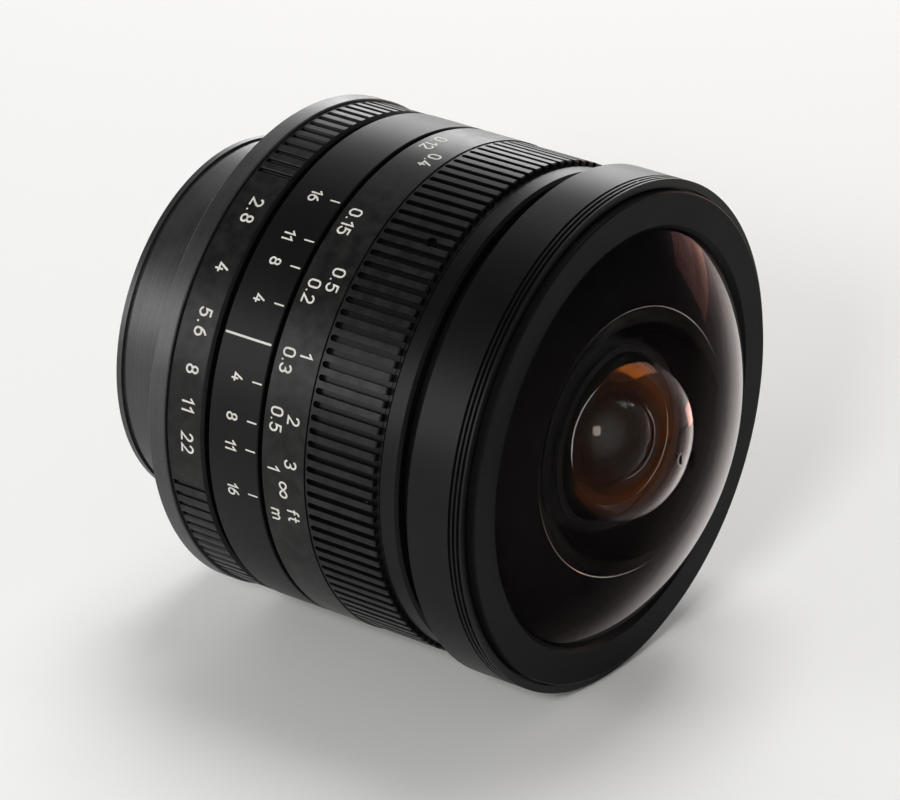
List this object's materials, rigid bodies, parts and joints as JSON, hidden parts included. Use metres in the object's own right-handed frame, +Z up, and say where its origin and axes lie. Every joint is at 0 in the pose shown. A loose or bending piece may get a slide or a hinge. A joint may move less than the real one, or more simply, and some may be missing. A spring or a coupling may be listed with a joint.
{
  "type": "fisheye camera lens",
  "caption": "Manual-focus fisheye lens with a bulging front glass, a ribbed focus ring, a knurled aperture ring and a bayonet mount.",
  "frame": {"origin": "centre of the bayonet's flange face, where the lens meets the camera", "axes": "+Y along the optical axis out of the mount towards the camera, the front glass towards -Y, +Z up as the lens lies on its side"},
  "size_m": [0.06, 0.0649, 0.06],
  "materials": {
    "black_anodised": "satin black anodised, fine bead-blasted",
    "mount_metal": "dark satin plated",
    "screw_steel": "satin",
    "blade_steel": "dry black",
    "brass": "turned",
    "baffle_plastic": "matte black",
    "glass": "polished, anti-reflection coated"
  },
  "bodies": {
    "root": {"bayonet_mount": "mount_metal", "mount_screws": "screw_steel", "rear_baffle": "baffle_plastic", "main_barrel": "black_anodised", "index_ring": "black_anodised", "focus_retainer": "black_anodised", "guide_keys": "screw_steel", "focus_stop_pin": "screw_steel"},
    "aperture_ring": {"aperture_ring": "black_anodised", "aperture_drive_arm": "screw_steel"},
    "focus_ring": {"focus_ring": "black_anodised", "helicoid": "brass", "focus_grub_screws": "screw_steel"},
    "optical_unit": {"lens_barrel": "black_anodised", "front_shell": "black_anodised", "front_ring": "black_anodised", "front_cell": "black_anodised", "second_retainer": "black_anodised", "front_spacer": "black_anodised", "doublet_retainer": "black_anodised", "iris_housing": "black_anodised", "iris_cover": "black_anodised", "rear_cell": "black_anodised", "rear_retainer": "black_anodised", "rear_spacer_front": "black_anodised", "rear_spacer_middle": "black_anodised", "rear_spacer_back": "black_anodised", "front_meniscus": "glass", "second_meniscus": "glass", "third_meniscus": "glass", "front_doublet_crown": "glass", "front_doublet_flint": "glass", "rear_singlet": "glass", "middle_doublet_crown": "glass", "middle_doublet_flint": "glass", "rear_doublet_crown": "glass", "rear_doublet_flint": "glass", "last_element": "glass"},
    "iris_rotor": {"iris_rotor": "black_anodised"},
    "iris_blade_01": {"iris_blade_01": "blade_steel"},
    "iris_blade_02": {"iris_blade_02": "blade_steel"},
    "iris_blade_03": {"iris_blade_03": "blade_steel"},
    "iris_blade_04": {"iris_blade_04": "blade_steel"},
    "iris_blade_05": {"iris_blade_05": "blade_steel"},
    "iris_blade_06": {"iris_blade_06": "blade_steel"},
    "iris_blade_07": {"iris_blade_07": "blade_steel"},
    "iris_blade_08": {"iris_blade_08": "blade_steel"},
    "iris_blade_09": {"iris_blade_09": "blade_steel"},
    "iris_blade_10": {"iris_blade_10": "blade_steel"},
    "iris_blade_11": {"iris_blade_11": "blade_steel"},
    "iris_blade_12": {"iris_blade_12": "blade_steel"}
  },
  "joints": [
    {"name": "aperture_turn", "type": "hinge", "parent": "root", "child": "aperture_ring", "pos_m": [0, -0.005, 0], "axis": [0, -1, 0], "range_deg": [-27.8, 27.8]},
    {"name": "focus_turn", "type": "hinge", "parent": "root", "child": "focus_ring", "pos_m": [0, -0.0175, 0], "axis": [0, -1, 0], "range_deg": [-31.5, 56.5]},
    {"name": "focus_slide", "type": "slide", "parent": "root", "child": "optical_unit", "axis": [0, -1, 0], "range_m": [-0.000215, 0.000382]},
    {"name": "iris_rotor_turn", "type": "hinge", "parent": "optical_unit", "child": "iris_rotor", "pos_m": [0, -0.02285, 0], "axis": [0, -1, 0], "range_deg": [-28, 28]},
    {"name": "iris_blade_01_turn", "type": "hinge", "parent": "optical_unit", "child": "iris_blade_01", "pos_m": [0, -0.02065, 0.0176], "axis": [0, -1, 0], "range_deg": [-7.2, 7.2]},
    {"name": "iris_blade_02_turn", "type": "hinge", "parent": "optical_unit", "child": "iris_blade_02", "pos_m": [-0.0088, -0.0208, 0.01524], "axis": [0, -1, 0], "range_deg": [-7.2, 7.2]},
    {"name": "iris_blade_03_turn", "type": "hinge", "parent": "optical_unit", "child": "iris_blade_03", "pos_m": [-0.01524, -0.02095, 0.0088], "axis": [0, -1, 0], "range_deg": [-7.2, 7.2]},
    {"name": "iris_blade_04_turn", "type": "hinge", "parent": "optical_unit", "child": "iris_blade_04", "pos_m": [-0.0176, -0.0211, 0], "axis": [0, -1, 0], "range_deg": [-7.2, 7.2]},
    {"name": "iris_blade_05_turn", "type": "hinge", "parent": "optical_unit", "child": "iris_blade_05", "pos_m": [-0.01524, -0.02125, -0.0088], "axis": [0, -1, 0], "range_deg": [-7.2, 7.2]},
    {"name": "iris_blade_06_turn", "type": "hinge", "parent": "optical_unit", "child": "iris_blade_06", "pos_m": [-0.0088, -0.0214, -0.01524], "axis": [0, -1, 0], "range_deg": [-7.2, 7.2]},
    {"name": "iris_blade_07_turn", "type": "hinge", "parent": "optical_unit", "child": "iris_blade_07", "pos_m": [0, -0.02155, -0.0176], "axis": [0, -1, 0], "range_deg": [-7.2, 7.2]},
    {"name": "iris_blade_08_turn", "type": "hinge", "parent": "optical_unit", "child": "iris_blade_08", "pos_m": [0.0088, -0.0217, -0.01524], "axis": [0, -1, 0], "range_deg": [-7.2, 7.2]},
    {"name": "iris_blade_09_turn", "type": "hinge", "parent": "optical_unit", "child": "iris_blade_09", "pos_m": [0.01524, -0.02185, -0.0088], "axis": [0, -1, 0], "range_deg": [-7.2, 7.2]},
    {"name": "iris_blade_10_turn", "type": "hinge", "parent": "optical_unit", "child": "iris_blade_10", "pos_m": [0.0176, -0.022, 0], "axis": [0, -1, 0], "range_deg": [-7.2, 7.2]},
    {"name": "iris_blade_11_turn", "type": "hinge", "parent": "optical_unit", "child": "iris_blade_11", "pos_m": [0.01524, -0.02215, 0.0088], "axis": [0, -1, 0], "range_deg": [-7.2, 7.2]},
    {"name": "iris_blade_12_turn", "type": "hinge", "parent": "optical_unit", "child": "iris_blade_12", "pos_m": [0.0088, -0.0223, 0.01524], "axis": [0, -1, 0], "range_deg": [-7.2, 7.2]}
  ],
  "couplings": [
    {"joint": "focus_slide", "follows": "focus_turn", "m_per_rad": 0.000384},
    {"joint": "iris_rotor_turn", "follows": "aperture_turn", "ratio": 1},
    {"joint": "iris_blade_01_turn", "follows": "aperture_turn", "ratio": -0.2554},
    {"joint": "iris_blade_02_turn", "follows": "aperture_turn", "ratio": -0.2554},
    {"joint": "iris_blade_03_turn", "follows": "aperture_turn", "ratio": -0.2554},
    {"joint": "iris_blade_04_turn", "follows": "aperture_turn", "ratio": -0.2554},
    {"joint": "iris_blade_05_turn", "follows": "aperture_turn", "ratio": -0.2554},
    {"joint": "iris_blade_06_turn", "follows": "aperture_turn", "ratio": -0.2554},
    {"joint": "iris_blade_07_turn", "follows": "aperture_turn", "ratio": -0.2554},
    {"joint": "iris_blade_08_turn", "follows": "aperture_turn", "ratio": -0.2554},
    {"joint": "iris_blade_09_turn", "follows": "aperture_turn", "ratio": -0.2554},
    {"joint": "iris_blade_10_turn", "follows": "aperture_turn", "ratio": -0.2554},
    {"joint": "iris_blade_11_turn", "follows": "aperture_turn", "ratio": -0.2554},
    {"joint": "iris_blade_12_turn", "follows": "aperture_turn", "ratio": -0.2554}
  ]
}
